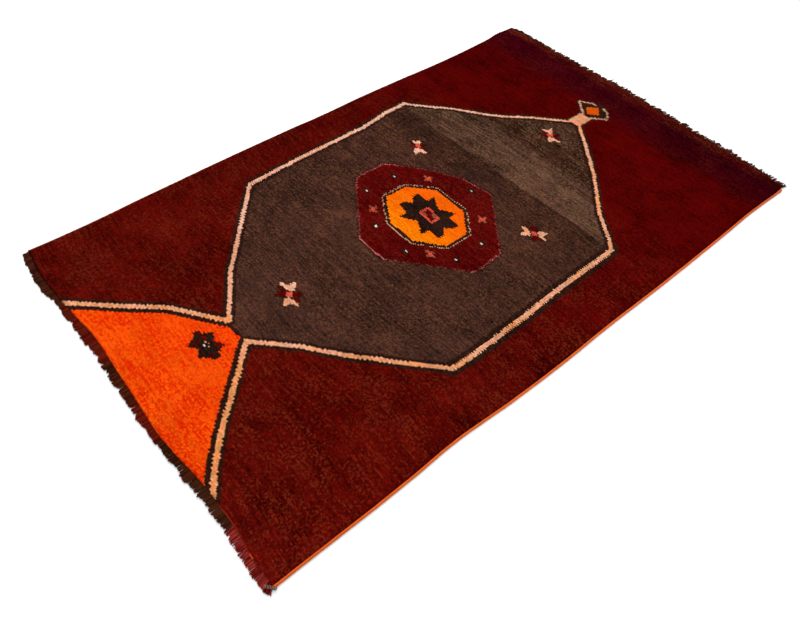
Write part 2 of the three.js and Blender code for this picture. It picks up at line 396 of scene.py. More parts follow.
LINES = (
    (NEAR_LEFT, in_hexagon, 6.8, 10, 12),
    (NEAR, in_hexagon, 7.8, 16.5, 16.5),
    (NEAR_RIGHT, in_hexagon, 5.8, 12, 9),
    (FAR_RIGHT, in_hexagon, 5.4, 10.5, 12),
    (FAR, in_hexagon, 7.2, 12, 13),
    (FAR_LEFT, in_hexagon, 6.2, 11.5, 12),
    (NICHE_FAR, in_niche, 7.3, 14, 11),
    (NICHE_NEAR, in_niche, 7.4, 14.5, 10.5),
)
distances = [beside(line)[0] for line, *_ in LINES]
for off, (_, figure, peach_half, dark_in, dark_out) in zip(distances, LINES):
    chart[off < peach_half + np.where(figure, dark_in, dark_out)] = UMBER
for off, (_, _, peach_half, _, _) in zip(distances, LINES):
    chart[off < peach_half] = PEACH
mouth = (along > -790) & (along < -700) & (np.abs(across + 4) < 27) & (chart != PEACH)
chart[mouth] = np.where(along < -747, ORANGE, BROWN)[mouth]
chart[mouth & (along > -747) & (along < -738)] = UMBER

# The finial at the far tip of the hexagon: a peach neck, four bent arms and an orange diamond
neck_off = np.abs(across - 33)
round_neck = (along > 742) & (along < 832) & (neck_off < 33)
chart[round_neck & ~in_hexagon & (chart == RED)] = UMBER
chart[(along > 747) & (along < 822) & (neck_off < 25.5)] = PEACH
HEAD = [(822, 56), (867, 117), (911, 66), (911, 14), (868, -34), (822, 11)]
ARMS = (([(821, 51), (870, 112)], 4.2), ([(875, 110), (904, 68), (901, 55)], 3.6),
        ([(821, 15), (862, -30)], 4.0), ([(873, -25), (899, -4), (905, 22)], 4.2))
chart[inside(HEAD) | (beside(HEAD, True)[0] < 6)] = UMBER
for line, half in ARMS:
    chart[beside(line)[0] < half] = CREAM
diamond = np.abs(along - 863) / 33 + np.abs(across - 38) / 34
chart[diamond < 1.22] = UMBER
chart[diamond < 1] = ORANGE

# The medallion: a dark red octagon in a thin pink line, and in it a gold one with a black star
OUTER_OCTAGON = [(-78, 293), (37, 293), (100, 222), (150, 153), (200, 62), (219, -50), (144, -144),
                 (47, -261), (-66, -267), (-250, -51), (-250, 59), (-190, 145), (-131, 228)]
GOLD_OCTAGON = [(-72, 167), (25, 167), (101, 86), (102, -54), (31, -144), (-66, -144), (-141, -52),
                (-140, 63)]
STITCH = 9.2
HALF_KNOT = 2.3
in_octagon = inside(OUTER_OCTAGON)
chart[in_octagon] = WINE
off, place = beside(OUTER_OCTAGON, True)
on_level = (np.abs(across) > 255) | (along < -244) | ((along > 196) & (across > -52) & (across < 66))
dark_share = np.where(on_level, 0.85, 0.35)
chart[~in_octagon & (off < 7.6) & (hand.uniform(0, 1, chart.shape) < dark_share)] = UMBER
on_line = off < HALF_KNOT
chart[on_line & (on_level | (place % STITCH < 4.4))] = ROSE
bright_knots = (along < -244) | (hand.uniform(0, 1, chart.shape) < 0.35)
chart[on_line & on_level & bright_knots & (along < 190)] = PINK
off, place = beside(GOLD_OCTAGON, True)
in_gold = inside(GOLD_OCTAGON)
chart[in_gold] = GOLD
chart[in_gold & (off < 12)] = UMBER
on_line = off < HALF_KNOT
chart[on_line] = UMBER
on_level = (along < -135) | ((across > 162) & (hand.uniform(0, 1, chart.shape) < 0.8))
dash = np.where(along > 96, 3.4, 4.8)
chart[on_line & (on_level | (place % STITCH < dash))] = CREAM


def star(x, y, quarter):
    """A figure with the same quarter four times, as a weaver repeats it."""
    ring = quarter + [(px, -py) for px, py in quarter[-2::-1]]
    ring += [(-px, py) for px, py in ring[-2:0:-1]]
    return inside(ring, along - x, across - y)


chart[star(-13, 7, [(0, 75), (20, 97), (42, 97), (44, 53), (76, 52), (45, 0)])] = BLACK
box_x = np.abs(along + 10 - 0.06 * (across - 3))
box_y = np.abs(across - 3)
chart[(box_x < 20) & (box_y < 33)] = CORAL
in_box = (box_x < 13) & (box_y < 26)
chart[in_box] = WINE
chart[in_box & ((along + 10) * (across - 3) < -20)] = RUST
for x, y in ((-134, 139), (107, 139), (-124, -125), (111, -117)):
    chart[box(x, y, 16, 5) | box(x, y, 5, 20)] = RUST
    chart[box(x, y, 7, 7)] = CORAL
for x, y in ((-93, 220), (26, 220), (-176, 75), (-174, -70), (-77, -193), (33, -193), (180, 2)):
    chart[box(x, y, 8.5, 12, steady_across)] = BLACK
    chart[box(x, y, 2.5, 4.6, steady_across)] = IVORY

# The dark flower in the niche, with a few pale knots at its heart
chart[star(-831, 6, [(0, 58), (9, 58), (13, 44), (26, 34), (40, 29), (24, 0)])] = BLACK
flower = (chart == BLACK) & (along < -700)
PETALS = ((-850, 27, 12, 6), (-823, 33, 7, 9), (-824, 56, 7, 8), (-803, -12, 9, 8), (-838, -36, 6, 9))
for x, y, wide, tall in PETALS:
    chart[flower & box(x, y, wide, tall)] = WINE
for x, y, wool in ((-828, 17, CREAM), (-836, 8, IVORY), (-824, 6, CORAL), (-829, -2, CREAM)):
    chart[box(x, y, HALF_KNOT, 3.2, steady_across)] = wool

# The four butterflies, each with two peach wings and two dark red ones in a dark outline.
# Each: its place, whether it is turned, and the size of its upper, lower and dark wings.
WING = [(9, 8), (2, 30), (1, 50), (6, 55), (11, 51), (15, 32), (34, 31), (42, 28), (34, 15), (21, 3)]
BUTTERFLIES = ((-552, 12, 1, 1.0, 0.94, 0.82), (198, 292, 1, 0.62, 0.95, 0.6),
               (621, 40, 1, 0.82, 0.86, 0.7), (196, -267, -1, 0.92, 0.84, 0.72))
for x, y, turned, upper, lower, dark in BUTTERFLIES:
    dx = (along - x) * turned
    dy = across - y
    wings = [inside(WING, dx * right / share, dy * right * up / share)
             for right, up, share in ((1, 1, upper), (-1, 1, lower), (-1, -1, dark), (1, -1, dark))]
    figure = wings[0] | wings[1] | wings[2] | wings[3]
    around = figure.copy()
    for step in (-1, 1):
        around |= np.roll(figure, step, 0) | np.roll(figure, step, 1)
    chart[around & (hand.uniform(0, 1, chart.shape) < 0.6)] = UMBER
    chart[wings[2] | wings[3]] = WINE
    chart[wings[0] | wings[1]] = PEACH
    chart[(np.abs(dx) / 12 + np.abs(dy) / 13) < 1] = CORAL
chart[(chart == RED) & (along > 872 + 6 * np.sin(across / 90))] = PLUM

# The knotted pile
# Each knot stands up as a short cut tuft of soft hand-spun wool. The tufts lean a little to the
# left end, stand at slightly uneven heights, and splay out over the rim of the rug.
VALLEY = 0.0079
TIP = 0.0093
TALLEST = 0.0099
RIM_FOOT = 0.0016
RIM_SHOULDER = 0.0072
RIM_TIP = 0.0074
FAR_RIM_TIP = 0.0088
OVERHANG_FAR = 0.0026
UNEVEN_HEIGHT = 0.00022
SLOW_UNEVENNESS = 0.00016
DARK_WOOL_LOWER = 0.0004
TUFT_LEAN = 0.0006
ROW_SWAY = 0.10
FEET_OFF = 0.13
TIPS_OFF = 0.14
u, v = np.meshgrid(np.arange(ROWS + 1) / ROWS, np.arange(KNOTS + 1) / KNOTS, indexing="ij")
inner = np.zeros(u.shape, bool)
inner[1:-1, 1:-1] = True
sway = np.zeros((ROWS + 1, 1))
sway[1:-1] = hand.normal(0, ROW_SWAY, (ROWS - 1, 1))
u = u + np.where(inner, hand.normal(0, FEET_OFF, u.shape) + sway, 0) / ROWS
v = v + np.where(inner, hand.normal(0, FEET_OFF, v.shape), 0) / KNOTS
feet = on_rug(u, v)
foot_height = np.full(u.shape, RIM_SHOULDER)
foot_height[2:-2, 2:-2] = (VALLEY + hand.normal(0, UNEVEN_HEIGHT, u.shape))[2:-2, 2:-2]
foot_height = np.where(inner, foot_height, RIM_FOOT)
tip_height = TIP + waver(24, SLOW_UNEVENNESS) + hand.normal(0, UNEVEN_HEIGHT, chart.shape)
tip_height = tip_height - np.where((chart == BLACK) | (chart == UMBER), DARK_WOOL_LOWER, 0)
outermost = np.ones(chart.shape, bool)
outermost[1:-1, 1:-1] = False
tip_height = np.where(outermost, RIM_TIP, np.minimum(tip_height, TALLEST))
tip_height[:, -1] = FAR_RIM_TIP + hand.normal(0, 0.0003, ROWS)
tip_places = on_rug(
    row_share + hand.normal(0, TIPS_OFF, chart.shape) / ROWS,
    knot_share + hand.normal(0, TIPS_OFF, chart.shape) / KNOTS,
)
tip_places[..., 0] -= np.where(outermost, 0.0, TUFT_LEAN)
tip_places[:, -1, 1] += OVERHANG_FAR
grid_places = np.vstack([
    np.column_stack([feet.reshape(-1, 2), foot_height.ravel()]),
    np.column_stack([tip_places.reshape(-1, 2), tip_height.ravel()]),
])
foot_number = np.arange(u.size).reshape(u.shape)
tip_number = u.size + np.arange(chart.size).reshape(chart.shape)


def own_numbers(tree, map_name, shift):
    """A counted map, its whole numbers, and two random results for each of them."""
    counted = add_node(tree, "UVMap", uv_map=map_name).outputs[0]
    cell = vectors(tree, "FLOOR", counted)
    own = add_node(tree, "TexWhiteNoise", {"Vector": cell}, noise_dimensions="2D").outputs
    moved = vectors(tree, "ADD", cell, shift)
    second = add_node(tree, "TexWhiteNoise", {"Vector": moved}, noise_dimensions="2D").outputs["Value"]
    return counted, cell, own, second


# Knotted pile: every knot its own shade and tint, rows with long thin streaks, and slow clouds, with
# painted shade in the valleys between tufts.
knotted, given, wanted = effect(
    "knotted pile",
    {"Wool": "Color", "Speckle": "Float", "Tints": "Float", "Row streaks": "Float", "Clouds": "Float",
     "Fleck": "Color", "Flecks": "Float", "Plain share": "Float"},
    {"Colour": "Color", "Height": "Float"},
)
count_map, knot_cell, own, second = own_numbers(knotted, "knots", (51.0, 17.0, 0.0))
where = add_node(knotted, "TexCoord").outputs["Object"]


def row_noise(per_knot, start):
    """A noise that is new in each row and changes along it at so many waves a knot."""
    way = vectors(knotted, "MULTIPLY", knot_cell, (1.618, per_knot, 0.0))
    way = vectors(knotted, "ADD", way, (start, start, 0.0))
    return noise(knotted, way, 1.0, 0.0)


def summed(total, *parts):
    """A total and some noises, each less its middle and times its gain."""
    for value, gain in parts:
        total = calculate(knotted, "MULTIPLY_ADD", calculate(knotted, "SUBTRACT", value, 0.5), gain, total)
    return total


uneven = calculate(knotted, "SUBTRACT", calculate(knotted, "POWER", own["Value"], 2.0), 0.33)
long_streaks = summed(0.0, (row_noise(0.11, 3.3), 3.2), (row_noise(0.033, 9.7), 3.2))
clouded = summed(0.0, (noise(knotted, where, 3.5, 1.0), 4.2), (noise(knotted, where, 12.0, 1.0), 4.0))
bright = calculate(knotted, "MULTIPLY_ADD", uneven, given["Speckle"], 1.0)
bright = calculate(knotted, "MULTIPLY_ADD", long_streaks, given["Row streaks"], bright)
bright = calculate(knotted, "MULTIPLY_ADD", clouded, given["Clouds"], bright)
bright = calculate(knotted, "MAXIMUM", bright, 0.3)
# Painted shade and highlight: each knot is darkened toward its edges, where the valleys between tufts lie
# in shade, and lightened a little in its middle, on the tuft top.
in_knot = vectors(knotted, "SUBTRACT", count_map, knot_cell)
off_middle = vectors(knotted, "SUBTRACT", in_knot, (0.5, 0.5, 0.0))
off_middle = vectors(knotted, "MULTIPLY", off_middle, (1.0, 0.55, 0.0))
from_middle = add_node(knotted, "VectorMath", {0: off_middle}, operation="LENGTH").outputs["Value"]
painted_valley_shade = mapped(knotted, from_middle, 0.22, 0.54, 1.08, 0.6)
hair = placed(knotted, fibres, Hairs_per_metre=850.0)
# shade is the painted valley shade times the random tone of the hairs.
shade = calculate(knotted, "MULTIPLY", painted_valley_shade, calculate(knotted, "MULTIPLY_ADD", hair["Shade"], 0.7, 0.65))
tint = vectors(knotted, "SUBTRACT", own["Color"], (0.5, 0.5, 0.5))
level = vectors(knotted, "ADD", bright, vectors(knotted, "MULTIPLY", tint, given["Tints"]))
level = vectors(knotted, "MULTIPLY", level, shade)
colour = mix_colours(knotted, 1.0, given["Wool"], level, "MULTIPLY")
# Flecks mix some knots toward a second colour. In the reds these are lighter pinkish tips, in part wear and
# in part a painted highlight where tips catch the light.
fleck_place = summed(second, (row_noise(0.06, 21.1), 1.2), (noise(knotted, where, 9.0, 1.0), 1.1))
fleck_share = mapped(knotted, fleck_place, given["Plain share"], 1.05)
fleck_share = calculate(knotted, "MULTIPLY", fleck_share, given["Flecks"])
fleck_level = vectors(knotted, "MULTIPLY", given["Fleck"], shade)
knotted.links.new(mix_colours(knotted, fleck_share, colour, fleck_level), wanted["Colour"])
knotted.links.new(hair["Height"], wanted["Height"])


def pile_wool(name, main, fleck, speckle=0.62, tints=0.2, streaks=0.24, clouds=0.2, flecks=0.42, plain=0.6):
    """One dyed wool of the pile. main and fleck are its colours, or functions that give sockets."""

    def colour_of(tree):
        wool, light = (way(tree) if callable(way) else dye(*way) for way in (main, fleck))
        outputs = placed(tree, knotted, Wool=wool, Speckle=speckle, Tints=tints, Row_streaks=streaks,
                         Clouds=clouds, Fleck=light, Flecks=flecks, Plain_share=plain)
        return outputs["Colour"], outputs["Height"]

    return wool_surface(name, colour_of, 0.55, 0.0007, sheen=0.04, sheen_tint=dye(130, 60, 40))


def dye_ramp(way, stops, first_gain=1.0, last_gain=1.0):
    """A wool whose dye changes along the rug, way 0, or across it, way 1.

    stops are (place in millimetres, red, green, blue). The gains brighten its two sides the other way.
    """

    def colour_of(tree):
        where = add_node(tree, "TexCoord").outputs["Object"]
        ways = add_node(tree, "SeparateXYZ", {0: where}).outputs
        first_place, last_place = stops[0][0], stops[-1][0]
        ends = (place / 1000 + middle[way] for place in (first_place, last_place))
        ramp = add_node(tree, "ValToRGB", {0: mapped(tree, ways[way], *ends)})
        points = ramp.color_ramp.elements
        while len(points) < len(stops):
            points.new(0.5)
        for point, (place, *colour) in zip(points, stops):
            point.position = (place - first_place) / (last_place - first_place)
            point.color = dye(*colour)
        if first_gain == last_gain:
            return ramp.outputs[0]
        reach = 0.6 if way == 0 else 1.0
        gain = mapped(tree, ways[1 - way], -reach, reach, first_gain, last_gain)
        return mix_colours(tree, 1.0, ramp.outputs[0], gain, "MULTIPLY")

    return colour_of


def peach_lots(tree):
    """Peach wool, more orange in the niche and the finial, and pinker toward the far side."""
    where = add_node(tree, "TexCoord").outputs["Object"]
    ways = add_node(tree, "SeparateXYZ", {0: where}).outputs
    slow = noise(tree, where, 9.0, 2.0)
    off_hexagon = calculate(tree, "ABSOLUTE", ways["X"])
    pinker = mapped(tree, off_hexagon, 0.70, 0.76, 0.67, 0.18)
    pinker = calculate(tree, "MULTIPLY_ADD", ways["Y"], 0.55, pinker)
    pinker = calculate(tree, "MULTIPLY_ADD", calculate(tree, "SUBTRACT", slow, 0.5), 1.6, pinker)
    warm = mix_colours(tree, mapped(tree, ways["X"], 0.71, 0.76), dye(228, 142, 82), dye(208, 130, 84))
    return mix_colours(tree, mapped(tree, pinker), warm, dye(221, 162, 138))


madder = dye_ramp(0, [(-1070, 90, 11, 6), (-850, 81, 8, 4), (-300, 77, 7, 4), (300, 75, 4, 3),
                      (1070, 69, 1, 2)], 1.15, 0.88)
# The madder flecks are lightest at the left end and on the near side: in part wear, in part a painted
# highlight on the pile tips.
madder_wear_and_sheen_flecks = dye_ramp(0, [(-1070, 128, 46, 26), (0, 118, 42, 22), (320, 108, 34, 17), (520, 90, 8, 5),
                             (1070, 78, 3, 3)], 1.2, 0.78)
plum = dye_ramp(0, [(850, 70, 2, 3), (920, 54, 1, 7), (1005, 46, 0, 9), (1035, 56, 5, 7),
                    (1070, 72, 14, 7)])
plum_flecks = dye_ramp(0, [(850, 84, 24, 16), (1000, 84, 22, 16), (1045, 112, 48, 26), (1070, 116, 50, 27)])
orange_flecks = dye_ramp(0, [(-1070, 222, 34, 2), (-740, 222, 30, 2), (800, 206, 60, 8)])
brown_lots = dye_ramp(0, [(-740, 64, 39, 31), (150, 61, 36, 28), (330, 48, 29, 22)], 1.14, 0.80)
grey_lots = dye_ramp(0, [(320, 76, 50, 38), (400, 79, 52, 40), (440, 86, 60, 46), (455, 68, 43, 32),
                         (480, 74, 49, 38), (515, 56, 32, 22), (590, 56, 31, 20), (640, 66, 41, 30),
                         (740, 66, 40, 30)], 1.16, 0.72)
gold_lots = dye_ramp(0, [(-140, 246, 140, 8), (-60, 246, 118, 6), (20, 239, 101, 8), (100, 235, 96, 11)])
orange_lots = dye_ramp(0, [(-1070, 245, 88, 11), (-740, 245, 77, 10), (800, 204, 88, 12)])
WOOLS = (
    (RED, "madder_red", madder, madder_wear_and_sheen_flecks, {"clouds": 0.24}),
    (PLUM, "plum_red", plum, plum_flecks, {"flecks": 0.44, "clouds": 0.16}),
    (BROWN, "undyed_brown", brown_lots, (120, 74, 50), {"tints": 0.34, "streaks": 0.3}),
    (GREY, "grey_brown", grey_lots, (138, 104, 76), {"tints": 0.3, "streaks": 0.4, "clouds": 0.26}),
    (ORANGE, "bright_orange", orange_lots, orange_flecks,
     {"speckle": 0.16, "tints": 0.12, "streaks": 0.08, "clouds": 0.1, "flecks": 1.0, "plain": 0.2}),
    (GOLD, "golden_orange", gold_lots, (228, 80, 0),
     {"speckle": 0.14, "tints": 0.1, "streaks": 0.08, "clouds": 0.08, "flecks": 0.7, "plain": 0.3}),
    (PEACH, "peach", peach_lots, (246, 202, 170), {"speckle": 0.3, "streaks": 0.12, "clouds": 0.1}),
    (UMBER, "umber", (42, 22, 16), (70, 42, 28), {}),
    (BLACK, "charcoal", (36, 20, 15), (64, 40, 28), {}),
    (PINK, "rose_pink", (170, 76, 78), (206, 124, 118), {}),
    (ROSE, "dull_rose", (118, 46, 44), (160, 84, 78), {}),
    (CREAM, "cream", (180, 132, 104), (214, 176, 140), {}),
    (IVORY, "ivory", (212, 184, 168), (236, 216, 200), {"speckle": 0.15, "streaks": 0.1}),
    (CORAL, "coral", (206, 72, 56), (228, 112, 84), {"speckle": 0.25}),
    (WINE, "wine_red", (78, 6, 5), (118, 34, 24), {}),
    (RUST, "rust_brown", (140, 66, 44), (170, 98, 70), {}),
)
materials = {
    wool: pile_wool(name + "_wool", main, fleck, **marks) for wool, name, main, fleck, marks in WOOLS
}
row_and_knot = np.indices(chart.shape)
quad = cells_of(foot_number)
FAN = ((0, 1), (1, 2), (2, 3), (3, 0))
QUAD_COUNTS = np.array([(0, 0), (1, 0), (1, 1), (0, 1)], float)
TUFTS_PER_RIM_KNOT = 5
OVER_FRINGE_FROM = 0.74
OVER_FRINGE_FADE = 0.06
MORE_OVER_FRINGE = 1.4
HEIGHT_OVER_FRINGE = 0.0068
TUFT_BACK = 0.0012
UP = np.array([0, 0, 1.0])
tuft_maker = np.random.default_rng(19)


def rim_tufts(chosen):
    """Small tufts that splay out from the outermost knots among those chosen.

    At the left end they lie over the fringe toward the far corner.
    """
    found = []
    for axis, side in ((0, -1), (0, 1), (1, -1), (1, 1)):
        edge = 0 if side < 0 else chart.shape[axis] - 1
        cells = np.argwhere((row_and_knot[axis] == edge) & chosen)
        if not len(cells):
            continue
        lying_over = np.clip((cells[:, 1] / KNOTS - OVER_FRINGE_FROM) / OVER_FRINGE_FADE, 0, 1)
        lying_over = lying_over * (axis == 0 and side < 0)
        tufts_here = np.round(TUFTS_PER_RIM_KNOT * (1 + MORE_OVER_FRINGE * lying_over)).astype(int)
        lying_over = np.repeat(lying_over, tufts_here)
        cells = np.repeat(cells, tufts_here, 0)
        total = len(cells)
        way = np.zeros(3)
        way[axis] = side
        side_way = np.array([-way[1], way[0], 0.0])
        shares = (cells + tuft_maker.uniform(0.05, 0.95, total)[:, None]) / (ROWS, KNOTS)
        shares[:, axis] = side > 0
        base = on_rug(shares[:, 0], shares[:, 1])
        far_rim = axis == 1 and side > 0
        reach = tuft_maker.uniform(0.0004, 0.0026, total)[:, None] + OVERHANG_FAR * far_rim
        height = tuft_maker.uniform(0.0022, 0.0066, total) + 0.0020 * far_rim
        reach = reach + lying_over[:, None] * tuft_maker.uniform(0.001, 0.006, total)[:, None]
        height = np.maximum(height, HEIGHT_OVER_FRINGE * lying_over)
        set_back = 0.2 if far_rim else 0.75
        base = np.column_stack([base, height]) - way * (height[:, None] - RIM_FOOT) * set_back
        half = tuft_maker.uniform(0.0007, 0.0012, total)[:, None]
        drift = tuft_maker.normal(0, 0.0009, total)[:, None] * side_way
        drop = tuft_maker.uniform(-0.0004, 0.0014, total)[:, None] * UP
        tip = base + way * reach + drift - drop
        back = base - way * TUFT_BACK
        tuft = [back - side_way * half, back + side_way * half, back + UP * half * 1.3, tip]
        found.append((np.stack(tuft, 1), cells + 0.5))
    return found


def pile_piece(name, chosen, material):
    """The tufts of all the chosen knots as one piece."""
    corner_numbers = quad[chosen]
    tips = tip_number[chosen]
    cell = row_and_knot[:, chosen].T.astype(float)
    faces = np.concatenate([
        np.column_stack([corner_numbers[:, a], corner_numbers[:, b], tips]) for a, b in FAN
    ])
    counts = np.concatenate([
        np.stack([cell + QUAD_COUNTS[a], cell + QUAD_COUNTS[b], cell + 0.5], 1) for a, b in FAN
    ])
    used, renumbered = np.unique(faces, return_inverse=True)
    faces = renumbered.reshape(-1, 3)
    places = grid_places[used]
    for tufts, cells in rim_tufts(chosen):
        start = len(places) + 4 * np.arange(len(tufts))[:, None, None]
        extra = (start + np.array([(0, 1, 3), (1, 2, 3), (2, 0, 3)])).reshape(-1, 3)
        places = np.vstack([places, tufts.reshape(-1, 3)])
        faces = np.vstack([faces, extra])
        counts = np.concatenate([counts, np.repeat(cells, 3, 0)[:, None, :].repeat(3, 1)])
    maps = {"OFBake": from_above(places, [faces]), "knots": counts.reshape(-1, 2)}
    return make_piece(name, places, [faces], [material], maps, stands_for=["knotted_rug_body"])


left_half = row_and_knot[0] < ROWS // 2
for wool, name, *_ in WOOLS:
    chosen = chart == wool
    parts = {"_pile": chosen}
    if wool == RED:
        parts = {"_pile_left": chosen & left_half, "_pile_right": chosen & ~left_half}
    for label, part in parts.items():
        pile_piece(name + label, part, materials[wool])

# The backs of the knots
# On the underside each knot shows as a flat loop, so the pattern is there too, without pile.
# The loops are the same wools, beaten tight, and they lie on the floor.
BACK_HEIGHT = 0.0002
BACK_MARGIN = 0.0012
LONGEST_RUN = 24
runs = []
for row in range(ROWS):
    changes = np.flatnonzero(np.diff(chart[row])) + 1
    stops = np.unique(np.concatenate([[0], changes, np.arange(LONGEST_RUN, KNOTS, LONGEST_RUN), [KNOTS]]))
    runs += [(row, start, end, chart[row, start]) for start, end in zip(stops[:-1], stops[1:])]
runs = np.array(runs)
back_counts = np.stack([
    np.column_stack([runs[:, 0] + down, runs[:, end]]) for down, end in ((0, 1), (0, 2), (1, 2), (1, 1))
], 1).astype(float)
back_share = BACK_MARGIN + (1 - 2 * BACK_MARGIN) * back_counts.reshape(-1, 2) / (ROWS, KNOTS)
back_flat = on_rug(back_share[:, 0], back_share[:, 1])
back_places = np.column_stack([back_flat, np.full(len(back_flat), BACK_HEIGHT)])
back_faces = np.arange(len(back_places)).reshape(-1, 4)
make_piece(
    "knot_backs", back_places, [back_faces], [materials[wool] for wool, *_ in WOOLS],
    {"OFBake": from_above(back_places, [back_faces]), "knots": back_counts.reshape(-1, 2)},
    which=runs[:, 3], stands_for=["knotted_rug_body"],
)

# The overcast bindings
# Along both long sides an orange wool yarn is wound round the two outermost warps in a figure
# of eight. It makes a double rope of close, slightly slanting turns, and ends in a small knot.
TURN = 0.0028
LOBE = 0.00185
SLANT = 0.35
BINDING_SIDES = 9
INNER_LOBE_LARGER = 1.12
GROOVE = 0.80
KNOB_BACK = 0.022
KNOB_LENGTH = 0.006
KNOB_SWELL = 0.55
FIELD_MARGIN = 0.04


def yarn_tubes(paths, radii, sides, shape=None):
    """Round yarns along paths of (yarns, rings, 3). shape(ring number, angle) swells them."""
    yarns, rings, _ = paths.shape
    way = np.gradient(paths, axis=1)
    way /= np.linalg.norm(way, axis=2, keepdims=True)
    side_way = np.cross(way, [0, 0, 1.0])
    side_way /= np.linalg.norm(side_way, axis=2, keepdims=True)
    up_way = np.cross(side_way, way)
    angle = np.arange(sides) / sides * 2 * math.pi
    ring_number = np.arange(rings)[None, :, None]
    swell = 1.0 if shape is None else shape(ring_number, angle[None, None, :])
    radius = np.broadcast_to(np.asarray(radii)[..., None] * swell, (yarns, rings, sides))[..., None]
    wheel = side_way[:, :, None] * np.cos(angle)[None, None, :, None]
    wheel = wheel + up_way[:, :, None] * np.sin(angle)[None, None, :, None]
    places = paths[:, :, None] + wheel * radius
    number = np.arange(yarns * rings * sides).reshape(yarns, rings, sides)
    turned = np.roll(number, -1, 2)
    quads = np.stack([number[:, :-1], turned[:, :-1], turned[:, 1:], number[:, 1:]], -1).reshape(-1, 4)
    ends = paths[:, [0, -1]].reshape(-1, 3)
    end_number = places.size // 3 + np.arange(2 * yarns).reshape(yarns, 2)
    first = np.stack([turned[:, 0], number[:, 0], np.repeat(end_number[:, :1], sides, 1)], -1)
    last = np.stack([number[:, -1], turned[:, -1], np.repeat(end_number[:, 1:], sides, 1)], -1)
    caps = np.concatenate([first, last]).reshape(-1, 3)
    yarn, ring, side = np.unravel_index(quads, number.shape)
    side[:, 1:3] = side[:, :1] + 1
    quad_map = np.stack([ring / (rings - 1), side / sides, yarn], -1).reshape(-1, 3)
    cap_yarn = np.tile(np.repeat(np.arange(yarns), sides), 2)
    cap_ring = np.repeat([0.001, 0.999], yarns * sides)
    cap_map = np.stack([cap_ring, np.full(len(cap_yarn), 0.5), cap_yarn], -1).repeat(3, 0)
    return np.vstack([places.reshape(-1, 3), ends]), [quads, caps], np.vstack([quad_map, cap_map])


def yarn_maps(piece_map, yarns, strips):
    """The strand map, and a map where every yarn or strip of one has a field of its own."""
    along_share, round_share, yarn = piece_map.T
    strand = np.column_stack([yarn + 0.5, along_share])
    folded = np.clip(along_share, 0, 0.99999) * strips
    field = yarn * strips + np.floor(folded)
    fields = yarns * strips
    wide = math.ceil(math.sqrt(fields)) if yarns > 4 else 1
    tall = math.ceil(fields / wide)
    filled = 1 - 2 * FIELD_MARGIN
    across_field = (field % wide + FIELD_MARGIN + filled * (folded % 1)) / wide
    up_field = (np.floor(field / wide) + FIELD_MARGIN + filled * round_share) / tall
    return {"OFBake": np.column_stack([across_field, up_field]), "strand": strand}


def add_yarns(name, paths, radii, sides, wool, stands_for=(), shape=None, strips=1):
    """Adds one piece of yarns along their paths. None of it goes below the floor."""
    places, faces, piece_map = yarn_tubes(paths, radii, sides, shape)
    places[:, 2] = np.maximum(places[:, 2], 0.0)
    maps = yarn_maps(piece_map, len(paths), strips)
    make_piece(name, places, faces, [wool], maps, stands_for=stands_for)


# Plied yarn: one shade a strand, with light hairs.
plied, given, wanted = effect(
    "plied yarn",
    {"Wool": "Color", "Other wool": "Color", "Strand shades": "Float", "Other strands": "Float"},
    {"Colour": "Color", "Height": "Float"},
)
_, _, own, second = own_numbers(plied, "strand", (31.0, 7.0, 0.0))
hair = placed(plied, fibres, Hairs_per_metre=1300.0)
where = add_node(plied, "TexCoord").outputs["Object"]
patch = noise(plied, where, 26.0, 2.0)
bright = calculate(plied, "SUBTRACT", own["Value"], 0.5)
bright = calculate(plied, "MULTIPLY_ADD", bright, given["Strand shades"], 0.55)
bright = calculate(plied, "MULTIPLY_ADD", hair["Shade"], 0.9, bright)
other = calculate(plied, "MULTIPLY_ADD", patch, 1.2, calculate(plied, "MULTIPLY", second, 0.6))
other = calculate(plied, "MULTIPLY", mapped(plied, other, 0.75, 1.15), given["Other strands"])
colour = mix_colours(plied, other, given["Wool"], given["Other wool"])
plied.links.new(mix_colours(plied, 1.0, colour, bright, "MULTIPLY"), wanted["Colour"])
plied.links.new(hair["Height"], wanted["Height"])


def yarn_wool(name, wool, other, shades, others, sheen=0.04):
    """The material of a plied or wound yarn. wool is a colour, or a function that gives a socket."""

    def colour_of(tree):
        main = wool(tree) if callable(wool) else dye(*wool)
        outputs = placed(tree, plied, Wool=main, Other_wool=dye(*other), Strand_shades=shades,
                         Other_strands=others)
        return outputs["Colour"], outputs["Height"]

    return wool_surface(name, colour_of, 0.5, 0.0005, roughness=0.85, sheen=sheen, sheen_tint=dye(*other))


upper_lots = dye_ramp(0, [(-1060, 246, 106, 40), (-400, 248, 114, 50), (500, 248, 118, 60),
                          (1060, 226, 104, 62)])
# The lower lobe's wool is the same orange yarn as the upper, made darker as painted shade for the side of
# the rope that faces outward and down.
painted_shade_lower_lots = dye_ramp(0, [(-1060, 194, 92, 36), (-400, 210, 106, 44), (500, 214, 102, 52),
                          (1060, 196, 92, 56)])
upper_binding = yarn_wool("orange_overcast_wool", upper_lots, (206, 88, 16), 0.1, 0.35)
painted_shade_lower_binding = yarn_wool("painted_shade_overcast_wool", painted_shade_lower_lots, (150, 80, 24), 0.1, 0.4)
binder = np.random.default_rng(23)


